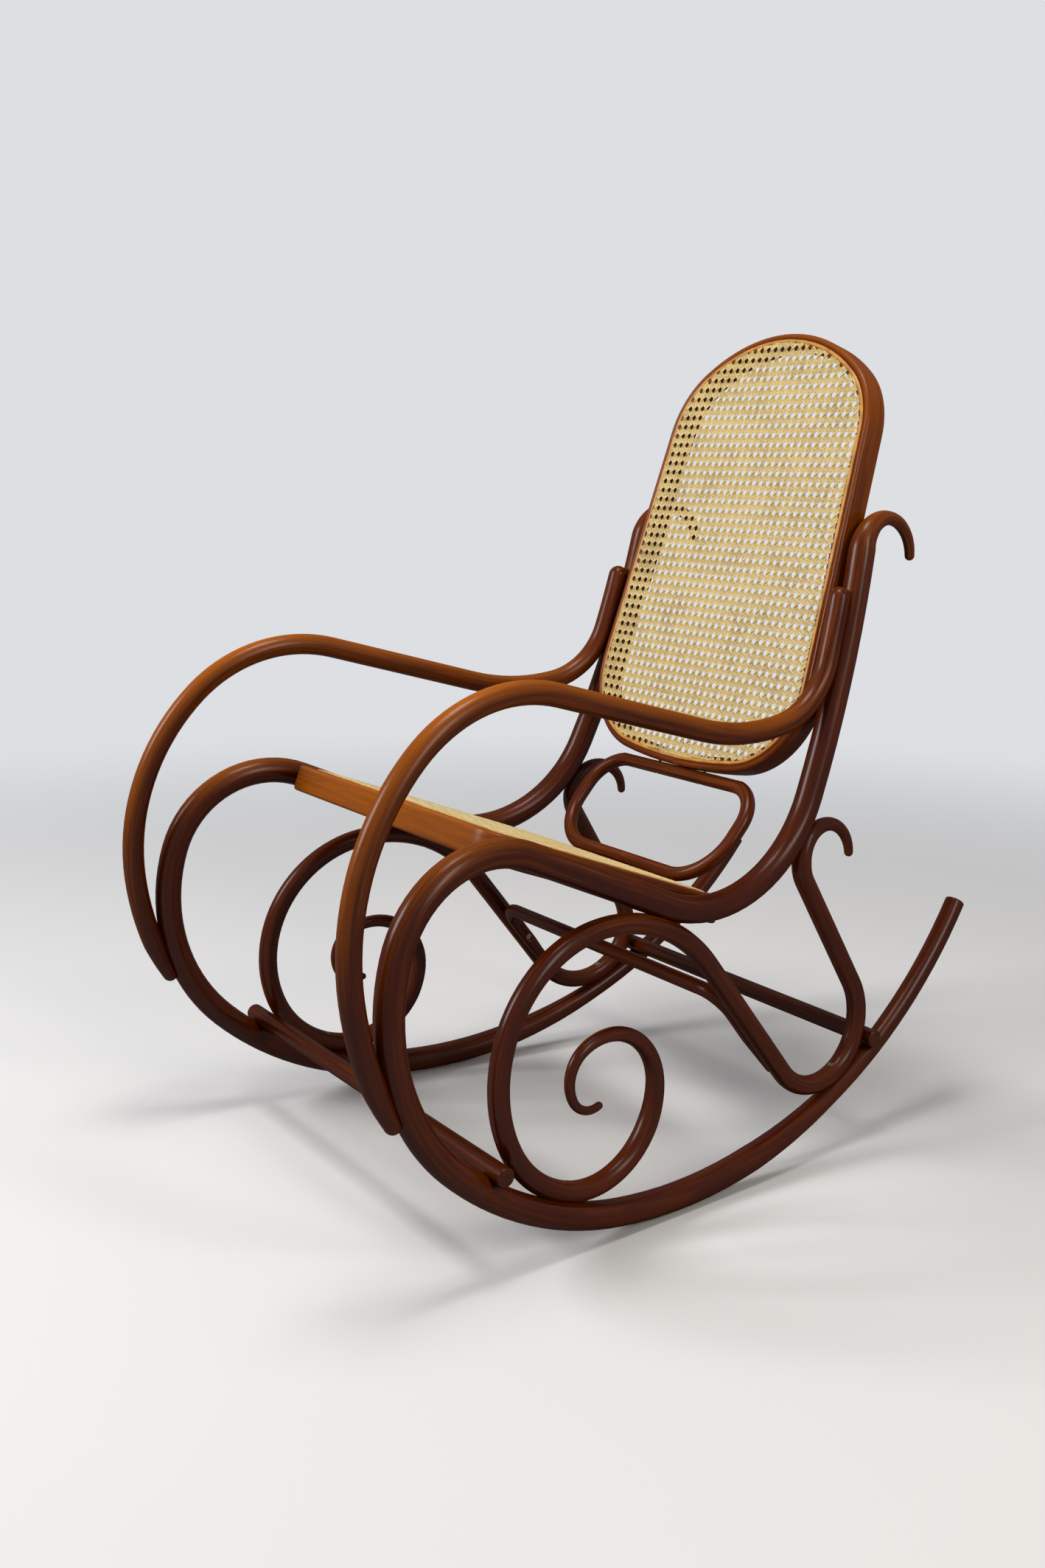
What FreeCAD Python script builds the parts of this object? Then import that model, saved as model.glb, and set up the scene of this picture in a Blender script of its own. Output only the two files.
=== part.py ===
"""Bentwood rocking chair: round rods bent into two side frames, caned seat and back.

Millimetres, +Z up. The sitter faces -Y, so the left side is +X. The origin is on the floor,
under the middle of the chair's box.

Each side frame is flat. It is drawn in its own plane, with u to the rear and v upwards, from the
point of the floor where the rocker rests, and the plane is then toed in and leaned in. Every rod is
a chain of tangent arcs and straight runs, and rods that cross are placed by the distance at which
their flats meet.
"""
import FreeCAD, Part
import os
from math import acos, atan2, ceil, cos, degrees, hypot, pi, radians, sin, sqrt, tan

V = FreeCAD.Vector

# Side frames
floor_half_width = 264.4   # from the middle plane to the side plane, at the rocker's rest point
toe_in = 4.05              # degrees that each side plane closes towards the rear
lean_in = 2.6              # degrees that each side plane closes towards the top

# Side rod: hook, upright, seat rail, front loop and rocker in one piece
side_rod_radius = 16.0
side_rod_rear_radius = 12.5
side_hook_middle_radius = 8.5
side_hook_tip_radius = 6.0
rocker_radius = 625.0
rocker_rear_turn = 54.5
rocker_front_turn = 8.5
rocker_taper_start = 120.0
rocker_taper_end = 270.0
heel_radius = 415.0
heel_turn = 35.5
loop_front_radius = 230.0
loop_front_turn = 63.0
loop_crest_radius = 126.0
loop_crest_turn = 96.5
rail_length = 208.0
seat_bend_radius = 180.0
seat_bend_turn = 90.0
upright_radius = 1450.0
upright_turn = 12.0
side_hook_radius = 45.5
side_hook_turn = 170.0

# Scroll brace
scroll_radius = 12.0
scroll_tip_radius = 4.5
scroll_hook_tip_radius = 5.5
scroll_crest_radius = 189.0
scroll_crest_heading = 157.2   # heading where the crest lies under the seat bend
scroll_crest_end = 188.0       # heading where the crest's arc ends and the front arc starts
scroll_front_end = 295.0       # heading where the front arc ends and the resting arc starts
scroll_resting_radius = 125.0
scroll_spiral = [              # radius, and the heading at which each arc ends, from the resting arc
    (scroll_resting_radius, 346.5),
    (100.0, 446.5),
    (70.0, 570.0),
    (41.0, 656.5),
    (29.0, 742.0),
]
scroll_taper_length = 300.0
scroll_low_radius = 77.0
scroll_low_contact = 26.5  # degrees behind the rest point, on the rocker
scroll_hook_radius = 43.0
scroll_hook_contact = -38.0
scroll_hook_end = -87.0
scroll_hook_taper = 130.0

# Armrest
arm_radius = 13.0
arm_front_tip_radius = 9.5
arm_front_taper = 48.0
arm_end_lap = 5.9          # how far the armrest's end is hollowed over the front loop
arm_end_heading = 113.0    # heading of the front loop where the armrest ends
arm_end_convergence = 5.5
arm_lower_radius = 360.0
arm_lower_turn = 22.5
arm_front_radius = 275.0
arm_front_turn = 52.0
arm_crest_radius = 190.0
arm_dip_radius = 300.0
arm_dip_end = 9.5
arm_rise_radius = 103.0
arm_rise_end = 73.0
arm_top_length = 74.0
arm_top_screw_from_end = 30.0
arm_front_screw_from_end = 36.0

# Stretchers
stretcher_radius = 11.0
stretcher_overhang = 6.0   # past the outside of the side rod
front_stretcher_heading = 143.0
rear_stretcher_angle = 33.0

# Bow brace between the scrolls
bow_radius = 9.0
bow_tip_radius = 5.5
bow_bend_radius = 34.0
bow_bar_position = 63.0    # along the scroll's straight run, from its start
bow_leg_length = 138.0
bow_taper = 62.0
bow_screw_positions = [62.0, 104.0]

# Back frame
back_lean = 17.45
back_reference = 172.0     # along the upright, from its start
back_forward = 28.0        # from the upright's middle to the cane
back_drop = 173.5          # from the reference down to the lower edge
back_rise = 403.0          # from the reference up to the top edge
back_ring_width = 18.0
back_ring_depth = 32.0
back_corner_radius = 115.0
back_bottom_radius = 700.0
back_shoulder_radius = 112.0
back_top_radius = 226.0
back_edge_rounding = 4.0
back_screw_heights = [-60.0, 90.0]
back_screw_setback = 6.0   # behind the middle of the ring's depth

# Seat
seat_slope = 20.6
seat_over_crest = 22.5
seat_setback = 24.0
seat_depth = 390.0
seat_ring_width = 46.0
seat_ring_depth = 32.0
seat_front_corner = 48.0
seat_rear_corner = 80.0
seat_edge_rounding = 3.5
seat_side_level = 4.0      # depth below the top at which the seat's side clears the rail
seat_screw_positions = [70.0, 185.0, 300.0]
seat_screw_level = 16.0

# Lumbar loop
lumbar_radius = 9.0
lumbar_half_width = 155.0
lumbar_upper_corner = 50.0
lumbar_lower_corner = 68.0
lumbar_from_rear = 12.0
lumbar_screw_offset = 45.0

# Cane and spline
cane_thickness = 1.4
cane_pitch = 25.4          # each gap of this net stands for four of the woven holes
cane_gap = 15.0
cane_margin = 7.0
spline_width = 4.8
spline_depth = 3.6
spline_crown = 1.2
spline_rounding = 1.6
groove_depth = 4.0
back_groove_inset = 8.4
seat_groove_inset = 22.0

# Joints
saddle_depth = 2.4         # how far a rod is hollowed to sit on the one that carries it
loop_flat_depth = 1.2
glue_gap = 0.1
fit_gap = 0.3
screw_radius = 2.2
screw_head_radius = 4.0
screw_head_height = 2.6
screw_recess = 1.0
screw_wall = 4.5
screw_clearance = 0.1
slot_width = 1.0
slot_depth = 1.1
end_rounding = 2.5
taper_step = 12.0          # degrees or so between the sections of a tapered bend


class Run:
    """One arc or straight run of a rod's middle line; a positive radius turns left."""

    def __init__(self, start, heading, radius=0.0, turn=0.0, length=0.0):
        self.start = start
        self.heading = heading
        self.radius = radius
        self.turn = turn
        self.length = abs(radius) * radians(turn) if radius else length
        self.centre = None
        if radius:
            h = radians(heading)
            self.centre = (start[0] - radius * sin(h), start[1] + radius * cos(h))
        self.end = self.at(self.length)[0]
        self.end_heading = self.at(self.length)[1]

    def at(self, distance):
        """Point and heading at a distance along the run."""
        if not self.radius:
            h = radians(self.heading)
            return (self.start[0] + distance * cos(h), self.start[1] + distance * sin(h)), self.heading
        heading = self.heading + degrees(distance / self.radius)
        h = radians(heading)
        return (self.centre[0] + self.radius * sin(h), self.centre[1] - self.radius * cos(h)), heading

    def part(self, begin, stop):
        point, heading = self.at(begin)
        if self.radius:
            return Run(point, heading, self.radius, degrees((stop - begin) / abs(self.radius)))
        return Run(point, heading, length=stop - begin)


def walk(start, heading, steps):
    """Chain of runs: each step is (radius, turn) for an arc or (0, length) for a straight."""
    runs = []
    for first, second in steps:
        if first:
            run = Run(start, heading, first, second)
        else:
            run = Run(start, heading, length=second)
        runs.append(run)
        start, heading = run.end, run.end_heading
    return runs


def reverse(runs):
    return [Run(r.end, r.end_heading + 180.0, -r.radius, r.turn, r.length) for r in reversed(runs)]


def total(runs):
    return sum(run.length for run in runs)


def along(runs, distance):
    """Point and heading at a distance along a chain."""
    for run in runs:
        if distance <= run.length:
            return run.at(distance)
        distance -= run.length
    return runs[-1].at(runs[-1].length)


def common_tangent(centre_a, radius_a, centre_b, radius_b):
    """Where the straight run from one turning circle to the next leaves and arrives, and its heading."""
    dx = centre_b[0] - centre_a[0]
    dy = centre_b[1] - centre_a[1]
    normal = atan2(dy, dx) + acos((radius_b - radius_a) / hypot(dx, dy))
    leave = (centre_a[0] - radius_a * cos(normal), centre_a[1] - radius_a * sin(normal))
    arrive = (centre_b[0] - radius_b * cos(normal), centre_b[1] - radius_b * sin(normal))
    return leave, arrive, degrees(normal) - 90.0


def turn_between(first, second, left):
    """Turn from one heading to another, turning left or right."""
    turn = (second - first) % 360.0
    return turn if left else (360.0 - turn) % 360.0


def ring(circles, inset=0.0):
    """Closed left-turning chain round circles given as (x, y, radius), drawn in by an inset."""
    rounds = [(x, y, radius - inset) for x, y, radius in circles]
    joints = []
    for i, (x, y, radius) in enumerate(rounds):
        nx, ny, nradius = rounds[(i + 1) % len(rounds)]
        apart = hypot(nx - x, ny - y)
        if apart <= abs(nradius - radius) + 1e-6:
            toward = 1.0 if radius > nradius else -1.0
            dx = toward * (nx - x) / apart
            dy = toward * (ny - y) / apart
            point = (x + radius * dx, y + radius * dy)
            joints.append((point, point, degrees(atan2(dy, dx)) + 90.0))
        else:
            joints.append(common_tangent((x, y), radius, (nx, ny), nradius))
    runs = []
    for i, (x, y, radius) in enumerate(rounds):
        arrive, heading = joints[i - 1][1], joints[i - 1][2]
        leave, next_point, leaving = joints[i]
        runs.append(Run(arrive, heading, radius, turn_between(heading, leaving, True)))
        span = hypot(next_point[0] - leave[0], next_point[1] - leave[1])
        if span > 1e-6:
            runs.append(Run(leave, leaving, length=span))
    return runs


def flat_point(point, across=0.0):
    """A point of a flat drawing, as a vector: across, u, v."""
    return V(across, point[0], point[1])


def flat_direction(heading):
    return V(0, cos(radians(heading)), sin(radians(heading)))


def outline_wire(runs):
    edges = []
    for run in runs:
        a = flat_point(run.start)
        b = flat_point(run.end)
        if run.radius:
            edges.append(Part.Arc(a, flat_point(run.at(run.length / 2.0)[0]), b).toShape())
        else:
            edges.append(Part.LineSegment(a, b).toShape())
    return Part.Wire(edges)


def cross_circle(point, heading, radius):
    return Part.Circle(flat_point(point), flat_direction(heading), radius).toShape()


def tube_faces(run, first, last):
    """Skin of one run, from one rod radius to another."""
    circle = cross_circle(run.start, run.heading, first)
    if abs(first - last) > 1e-6:
        count = 2 + int(run.turn / taper_step + run.length / 60.0)
        sections = []
        for i in range(count + 1):
            point, heading = run.at(run.length * i / count)
            section = cross_circle(point, heading, first + (last - first) * i / count)
            sections.append(Part.Wire([section]))
        return Part.makeLoft(sections, False, False).Faces
    if run.radius:
        axis = V(1, 0, 0) if run.radius > 0 else V(-1, 0, 0)
        return circle.revolve(flat_point(run.centre), axis, run.turn).Faces
    return circle.extrude(flat_direction(run.heading) * run.length).Faces


def cap_faces(point, heading, radius, rounding):
    """Flat end with a rounded edge, or a dome where the rounding is the radius."""
    rounding = min(rounding, radius)
    ahead = flat_direction(heading)
    side = V(1, 0, 0)
    centre = flat_point(point)
    rim = centre + side * radius
    middle = centre + side * (radius - rounding * (1 - cos(pi / 4))) + ahead * rounding * sin(pi / 4)
    top = centre + side * (radius - rounding) + ahead * rounding
    edges = [Part.Arc(rim, middle, top).toShape()]
    if radius - rounding > 1e-6:
        edges.append(Part.LineSegment(top, centre + ahead * rounding).toShape())
    faces = []
    for edge in edges:
        faces += edge.revolve(centre, ahead, 360).Faces
    return faces


def sewn(faces):
    shell = Part.Shell(faces)
    shell.sewShape()
    solid = Part.Solid(shell)
    if solid.Volume < 0:
        solid.reverse()
    return solid


def rod(runs, radii, first_rounding, last_rounding):
    """Round rod along a chain; radii is a list of (distance, radius), straight between them."""
    stops = [distance for distance, _ in radii]

    def radius_at(distance):
        for (a, ra), (b, rb) in zip(radii, radii[1:]):
            if distance <= b:
                return ra + (rb - ra) * (distance - a) / (b - a)
        return radii[-1][1]

    faces = []
    begin = 0.0
    for run in runs:
        inner = [s - begin for s in stops if 0.5 < s - begin < run.length - 0.5]
        cuts = [0.0] + inner + [run.length]
        for a, b in zip(cuts, cuts[1:]):
            faces += tube_faces(run.part(a, b), radius_at(begin + a), radius_at(begin + b))
        begin += run.length
    faces += cap_faces(runs[0].start, runs[0].heading + 180.0, radii[0][1], first_rounding)
    faces += cap_faces(runs[-1].end, runs[-1].end_heading, radii[-1][1], last_rounding)
    return sewn(faces)


def closed_rod(runs, radius):
    faces = []
    for run in runs:
        faces += tube_faces(run, radius, radius)
    return sewn(faces)


def basis(across, second, third, origin):
    """Matrix that takes a flat drawing's across, u and v to three directions from an origin."""
    return FreeCAD.Matrix(
        across.x, second.x, third.x, origin.x,
        across.y, second.y, third.y, origin.y,
        across.z, second.z, third.z, origin.z,
        0, 0, 0, 1)


def placed(shape, matrix):
    result = shape.copy()
    result.transformShape(matrix)
    return result


def block(centre, length_dir, length, width_dir, width, height_dir, height):
    """Box that stands on centre, reaching along height_dir, centred the other two ways."""
    box = Part.makeBox(length, width, height, V(-length / 2.0, -width / 2.0, 0))
    return placed(box, basis(length_dir, width_dir, height_dir, centre))


def contact_distance(first, second):
    """Distance between the middles of two rods, one hollowed to sit on the other."""
    return first + second - saddle_depth + glue_gap


def screw(start, direction, length):
    """Slotted screw whose head's top lies at start."""
    head = Part.makeCylinder(screw_head_radius, screw_head_height, start, direction)
    shank = Part.makeCylinder(screw_radius, length, start, direction)
    body = head.fuse(shank).removeSplitter()
    side = V(1, 0, 0) if abs(direction.x) < 0.7 else V(0, 0, 1)
    side = side.cross(direction).normalize()
    slot = block(start, side, 3 * screw_head_radius, side.cross(direction), slot_width, direction, slot_depth)
    return body.cut(slot)


def screw_hole(start, direction, length):
    """Clearance for a screw, open above its head."""
    above = 3 * screw_head_radius
    head = Part.makeCylinder(screw_head_radius + screw_clearance, above + screw_head_height,
                             start - direction * above, direction)
    shank = Part.makeCylinder(screw_radius + screw_clearance, length + screw_clearance, start, direction)
    return head.fuse(shank)


def mirrored(shape):
    return shape.mirror(V(0, 0, 0), V(1, 0, 0))


# Places in space: the left side plane, then the seat's and the back's planes
slope_x_by_y = -tan(radians(toe_in))
slope_x_by_z = -tan(radians(lean_in))
side_normal = V(1, -slope_x_by_y, -slope_x_by_z).normalize()
side_rear = V(slope_x_by_y, 1, 0).normalize()
side_up = side_normal.cross(side_rear)
side_origin = V(floor_half_width, 0, 0)
side_matrix = basis(side_normal, side_rear, side_up, side_origin)


def side_point(point, across=0.0):
    return side_origin + side_normal * across + side_rear * point[0] + side_up * point[1]


def side_direction(heading):
    return side_rear * cos(radians(heading)) + side_up * sin(radians(heading))


nodes = {}
screws = {}


def add_pair(name, shape):
    """Left and right copies of a shape that is given on the left."""
    nodes[name + "_left"] = shape
    nodes[name + "_right"] = mirrored(shape)


def drill(names, start, direction, length):
    """Cut a screw's clearance from the named left pieces."""
    hole = screw_hole(start, direction, length)
    for name in names:
        pieces[name] = pieces[name].cut(hole)


# Side rod's middle line, forwards from the rest point and rearwards to the tip
side_forward = walk((0.0, side_rod_radius), 180.0, [
    (-rocker_radius, rocker_front_turn),
    (-heel_radius, heel_turn),
    (-loop_front_radius, loop_front_turn),
    (-loop_crest_radius, loop_crest_turn),
    (0, rail_length),
    (seat_bend_radius, seat_bend_turn),
    (upright_radius, upright_turn),
    (-side_hook_radius, side_hook_turn),
])
side_rearward = walk((0.0, side_rod_radius), 0.0, [(rocker_radius, rocker_rear_turn)])
rocker_run, heel_run, loop_run, crest_run, rail_run, bend_run, upright_run, hook_run = side_forward
rear_run = side_rearward[0]
side_chain = reverse(side_rearward) + side_forward
rest_distance = total(side_rearward)
hook_start = total(side_chain) - hook_run.length
side_radii = [
    (0.0, side_rod_rear_radius),
    (rest_distance - rocker_taper_end, side_rod_rear_radius),
    (rest_distance - rocker_taper_start, side_rod_radius),
    (hook_start, side_rod_radius),
    (hook_start + hook_run.length / 2.0, side_hook_middle_radius),
    (total(side_chain), side_hook_tip_radius),
]

pieces = {}
pieces["side_rod"] = rod(side_chain, side_radii, end_rounding, side_hook_tip_radius)

# Scroll: the crest lies under the seat bend and the resting arc lies on the heel, so the arc
# between them has the radius that makes both so
under_bend = contact_distance(side_rod_radius, scroll_radius)
on_rear = contact_distance(side_rod_rear_radius, scroll_radius)
to_bend = radians(scroll_crest_heading - 90.0)
crest_reach = seat_bend_radius + scroll_crest_radius + under_bend
crest_centre = (bend_run.centre[0] - crest_reach * cos(to_bend),
                bend_run.centre[1] - crest_reach * sin(to_bend))
crest_point = (crest_centre[0] + scroll_crest_radius * cos(to_bend),
               crest_centre[1] + scroll_crest_radius * sin(to_bend))
first_side = (sin(radians(scroll_crest_end)), -cos(radians(scroll_crest_end)))
second_side = (sin(radians(scroll_front_end)), -cos(radians(scroll_front_end)))
base_x = (crest_centre[0] + scroll_crest_radius * first_side[0] - scroll_resting_radius * second_side[0]
          - heel_run.centre[0])
base_y = (crest_centre[1] + scroll_crest_radius * first_side[1] - scroll_resting_radius * second_side[1]
          - heel_run.centre[1])
per_x = second_side[0] - first_side[0]
per_y = second_side[1] - first_side[1]
squared = per_x ** 2 + per_y ** 2
linear = base_x * per_x + base_y * per_y
resting_reach = heel_radius - scroll_resting_radius - under_bend
constant = base_x ** 2 + base_y ** 2 - resting_reach ** 2
scroll_front_radius = (sqrt(linear ** 2 - squared * constant) - linear) / squared
touching_centre = (heel_run.centre[0] + base_x + scroll_front_radius * per_x,
                   heel_run.centre[1] + base_y + scroll_front_radius * per_y)
front_steps = []
heading = scroll_crest_heading
first_arcs = [(scroll_crest_radius, scroll_crest_end), (scroll_front_radius, scroll_front_end)]
for radius, end in first_arcs + scroll_spiral:
    front_steps.append((radius, end - heading))
    heading = end
scroll_front = walk(crest_point, scroll_crest_heading, front_steps)

low_angle = radians(scroll_low_contact)
low_reach = rocker_radius - scroll_low_radius - on_rear
low_centre = (rear_run.centre[0] + low_reach * sin(low_angle),
              rear_run.centre[1] - low_reach * cos(low_angle))
hook_angle = radians(scroll_hook_contact)
hook_reach = seat_bend_radius + scroll_hook_radius + under_bend
scroll_hook_centre = (bend_run.centre[0] + hook_reach * cos(hook_angle),
                      bend_run.centre[1] + hook_reach * sin(hook_angle))
leave_crest, reach_low, fall_heading = common_tangent(
    crest_centre, -scroll_crest_radius, low_centre, scroll_low_radius)
leave_low, reach_hook, rise_heading = common_tangent(
    low_centre, scroll_low_radius, scroll_hook_centre, -scroll_hook_radius)
rear_heading = scroll_crest_heading - 180.0
scroll_rear = walk(crest_point, rear_heading, [
    (-scroll_crest_radius, turn_between(rear_heading, fall_heading, False)),
    (0, hypot(reach_low[0] - leave_crest[0], reach_low[1] - leave_crest[1])),
    (scroll_low_radius, turn_between(fall_heading, rise_heading, True)),
    (0, hypot(reach_hook[0] - leave_low[0], reach_hook[1] - leave_low[1])),
    (-scroll_hook_radius, turn_between(rise_heading, scroll_hook_end, False)),
])
fall_run = scroll_rear[1]
scroll_chain = reverse(scroll_front) + scroll_rear
scroll_radii = [
    (0.0, scroll_tip_radius),
    (scroll_taper_length, scroll_radius),
    (total(scroll_chain) - scroll_hook_taper, scroll_radius),
    (total(scroll_chain), scroll_hook_tip_radius),
]
pieces["scroll"] = rod(scroll_chain, scroll_radii, scroll_tip_radius, scroll_hook_tip_radius)

# Armrest: from its tapered end beside the front loop to its top in front of the upright
loop_angle = radians(arm_end_heading)
loop_outward = (-sin(loop_angle), cos(loop_angle))
arm_end_gap = side_rod_radius + arm_front_tip_radius - arm_end_lap + glue_gap
arm_start = (loop_run.centre[0] + (loop_front_radius + arm_end_gap) * loop_outward[0],
             loop_run.centre[1] + (loop_front_radius + arm_end_gap) * loop_outward[1])
arm_low = walk(arm_start, arm_end_heading + arm_end_convergence, [
    (-arm_lower_radius, arm_lower_turn),
    (-arm_front_radius, arm_front_turn),
])
arm_gap = contact_distance(side_rod_radius, arm_radius)
crest_in = radians(arm_low[-1].end_heading)
arm_crest_centre = (arm_low[-1].end[0] + arm_crest_radius * sin(crest_in),
                    arm_low[-1].end[1] - arm_crest_radius * cos(crest_in))
top_radius = upright_radius - arm_gap
rise_end = radians(arm_rise_end)
rise_centre = (upright_run.centre[0] + (top_radius - arm_rise_radius) * sin(rise_end),
               upright_run.centre[1] - (top_radius - arm_rise_radius) * cos(rise_end))
dip_end = radians(arm_dip_end)
dip_centre = (rise_centre[0] + (arm_rise_radius - arm_dip_radius) * sin(dip_end),
              rise_centre[1] - (arm_rise_radius - arm_dip_radius) * cos(dip_end))
leave_arm_crest, reach_dip, arm_heading = common_tangent(
    arm_crest_centre, -arm_crest_radius, dip_centre, arm_dip_radius)
arm_chain = arm_low + walk(arm_low[-1].end, arm_low[-1].end_heading, [
    (-arm_crest_radius, turn_between(arm_low[-1].end_heading, arm_heading, False)),
    (0, hypot(reach_dip[0] - leave_arm_crest[0], reach_dip[1] - leave_arm_crest[1])),
    (arm_dip_radius, turn_between(arm_heading, arm_dip_end, True)),
    (arm_rise_radius, turn_between(arm_dip_end, arm_rise_end, True)),
    (top_radius, degrees(arm_top_length / top_radius)),
])
arm_length = total(arm_chain)
arm_radii = [
    (0.0, arm_front_tip_radius),
    (arm_front_taper, arm_radius),
    (arm_length, arm_radius),
]
pieces["armrest"] = rod(arm_chain, arm_radii, arm_front_tip_radius, arm_radius)

# The scroll and the armrest are hollowed where they lie on the side rod
side_skin = rod(side_chain, [(distance, radius + glue_gap) for distance, radius in side_radii],
                end_rounding, end_rounding)
pieces["scroll"] = pieces["scroll"].cut(side_skin)
pieces["armrest"] = pieces["armrest"].cut(side_skin)


def join(name, first, second, point, heading_across, first_radius, second_radius):
    """Screw through a contact; point is on the first rod's middle, and the screw's head is in it."""
    outward = flat_direction(heading_across)
    axis_a = flat_point(point)
    axis_b = axis_a + outward * contact_distance(first_radius, second_radius)
    start = axis_a - outward * (first_radius - screw_recess)
    length = (axis_b - start).Length + second_radius - screw_wall
    drill([first, second], start, outward, length)
    screws[name] = screw(start, outward, length)


join("scroll_screw_rail", "scroll", "side_rod", crest_point, degrees(to_bend), scroll_radius, side_rod_radius)

to_heel = atan2(touching_centre[1] - heel_run.centre[1], touching_centre[0] - heel_run.centre[0])
touching_point = (touching_centre[0] + scroll_resting_radius * cos(to_heel),
                  touching_centre[1] + scroll_resting_radius * sin(to_heel))
join("scroll_screw_front", "scroll", "side_rod", touching_point, degrees(to_heel), scroll_radius,
     side_rod_radius)

low_point = (low_centre[0] + scroll_low_radius * sin(low_angle),
             low_centre[1] - scroll_low_radius * cos(low_angle))
join("scroll_screw_rear", "scroll", "side_rod", low_point, scroll_low_contact - 90.0, scroll_radius,
     side_rod_rear_radius)

hook_point = (scroll_hook_centre[0] - scroll_hook_radius * cos(hook_angle),
              scroll_hook_centre[1] - scroll_hook_radius * sin(hook_angle))
join("scroll_screw_upright", "scroll", "side_rod", hook_point, scroll_hook_contact + 180.0, scroll_radius,
     side_rod_radius)

# The armrest's top lies along the upright
arm_top_point, arm_top_heading = along(arm_chain, arm_length - arm_top_screw_from_end)
top_outward = flat_direction(arm_top_heading - 90.0)
arm_axis = flat_point(arm_top_point)
upright_axis = arm_axis + top_outward * arm_gap
start = upright_axis + top_outward * (side_rod_radius - screw_recess)
length = arm_gap + side_rod_radius - screw_recess + arm_radius - screw_wall
drill(["armrest", "side_rod"], start, top_outward * -1.0, length)
screws["armrest_screw_top"] = screw(start, top_outward * -1.0, length)

# The armrest's tapered end lies on the front loop
arm_front_point, arm_front_heading = along(arm_chain, arm_front_screw_from_end)
inward_x = loop_run.centre[0] - arm_front_point[0]
inward_y = loop_run.centre[1] - arm_front_point[1]
front_reach = hypot(inward_x, inward_y)
front_inward = V(0, inward_x / front_reach, inward_y / front_reach)
loop_axis = flat_point(arm_front_point) + front_inward * (front_reach - loop_front_radius)
start = loop_axis + front_inward * (side_rod_radius - screw_recess)
tapered = (arm_radius - arm_front_tip_radius) * arm_front_screw_from_end / arm_front_taper
arm_radius_there = arm_front_tip_radius + tapered
length = (flat_point(arm_front_point) - start).Length + arm_radius_there - screw_wall
drill(["armrest", "side_rod"], start, front_inward * -1.0, length)
screws["armrest_screw_front"] = screw(start, front_inward * -1.0, length)

# To real space
for name in list(pieces):
    pieces[name] = placed(pieces[name], side_matrix)
for name in list(screws):
    screws[name] = placed(screws[name], side_matrix)
side_skin = placed(side_skin, side_matrix)

# Stretchers: straight bars across both rockers, on the inside of their bend
front_angle = radians(front_stretcher_heading)
front_gap = contact_distance(side_rod_radius, stretcher_radius)
front_contact = (heel_run.centre[0] - heel_radius * sin(front_angle),
                 heel_run.centre[1] + heel_radius * cos(front_angle))
rear_angle = radians(rear_stretcher_angle)
rear_gap = contact_distance(side_rod_rear_radius, stretcher_radius)
rear_contact = (rear_run.centre[0] + rocker_radius * sin(rear_angle),
                rear_run.centre[1] - rocker_radius * cos(rear_angle))
for name, contact, inward, gap, rocker_rod in (
        ("front_stretcher", front_contact, front_stretcher_heading - 90.0, front_gap, side_rod_radius),
        ("rear_stretcher", rear_contact, rear_stretcher_angle + 90.0, rear_gap, side_rod_rear_radius)):
    contact_3d = side_point(contact)
    towards = side_direction(inward)
    towards = V(0, towards.y, towards.z).normalize()
    middle = contact_3d + towards * gap
    half = contact_3d.x + rocker_rod + stretcher_overhang
    bar = Part.makeCylinder(stretcher_radius, 2 * half, V(-half, middle.y, middle.z), V(1, 0, 0))
    bar = bar.makeFillet(end_rounding, [edge for edge in bar.Edges if edge.Length < 7 * stretcher_radius
                                        and edge.Closed])
    start = contact_3d - towards * (rocker_rod - screw_recess)
    length = gap + rocker_rod - screw_recess + stretcher_radius - screw_wall
    hole = screw_hole(start, towards, length)
    pieces["side_rod"] = pieces["side_rod"].cut(hole)
    for tool in (side_skin, hole):
        bar = bar.cut(tool).cut(mirrored(tool))
    nodes[name] = bar
    screws[name + "_screw"] = screw(start, towards, length)

# Bow brace: its legs lie on the inside of the scrolls' falling runs
bow_gap = contact_distance(scroll_radius, bow_radius)
bow_top = side_point(fall_run.at(bow_bar_position)[0], -bow_gap)
bow_foot = side_point(fall_run.at(bow_bar_position + bow_leg_length)[0], -bow_gap)
fall = V(0, bow_foot.y - bow_top.y, bow_foot.z - bow_top.z)
leg_drop = fall.Length
fall = fall.normalize()
half_top = bow_top.x
half_foot = bow_foot.x
bow_bend_turn = 90.0 + degrees(atan2(half_top - half_foot, leg_drop))
bow_bend_reach = bow_bend_radius * tan(radians(bow_bend_turn) / 2.0)
leg_run = hypot(leg_drop, half_top - half_foot) - bow_bend_reach
bow_chain = walk((-half_foot, -leg_drop), bow_bend_turn, [
    (0, leg_run),
    (-bow_bend_radius, bow_bend_turn),
    (0, 2 * (half_top - bow_bend_reach)),
    (-bow_bend_radius, bow_bend_turn),
    (0, leg_run),
])
bow_radii = [
    (0.0, bow_tip_radius),
    (bow_taper, bow_radius),
    (total(bow_chain) - bow_taper, bow_radius),
    (total(bow_chain), bow_tip_radius),
]
bow = rod(bow_chain, bow_radii, bow_tip_radius, bow_tip_radius)
bow_rear = fall.cross(V(1, 0, 0)).normalize()
bow_matrix = basis(bow_rear, V(1, 0, 0), fall * -1.0, V(0, bow_top.y, bow_top.z))
bow = placed(bow, bow_matrix)
fall_skin = Part.makeCylinder(scroll_radius + glue_gap, fall_run.length + 4 * scroll_radius,
                              side_point(fall_run.start), side_direction(fall_run.heading))
bow = bow.cut(fall_skin).cut(mirrored(fall_skin))
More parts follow.
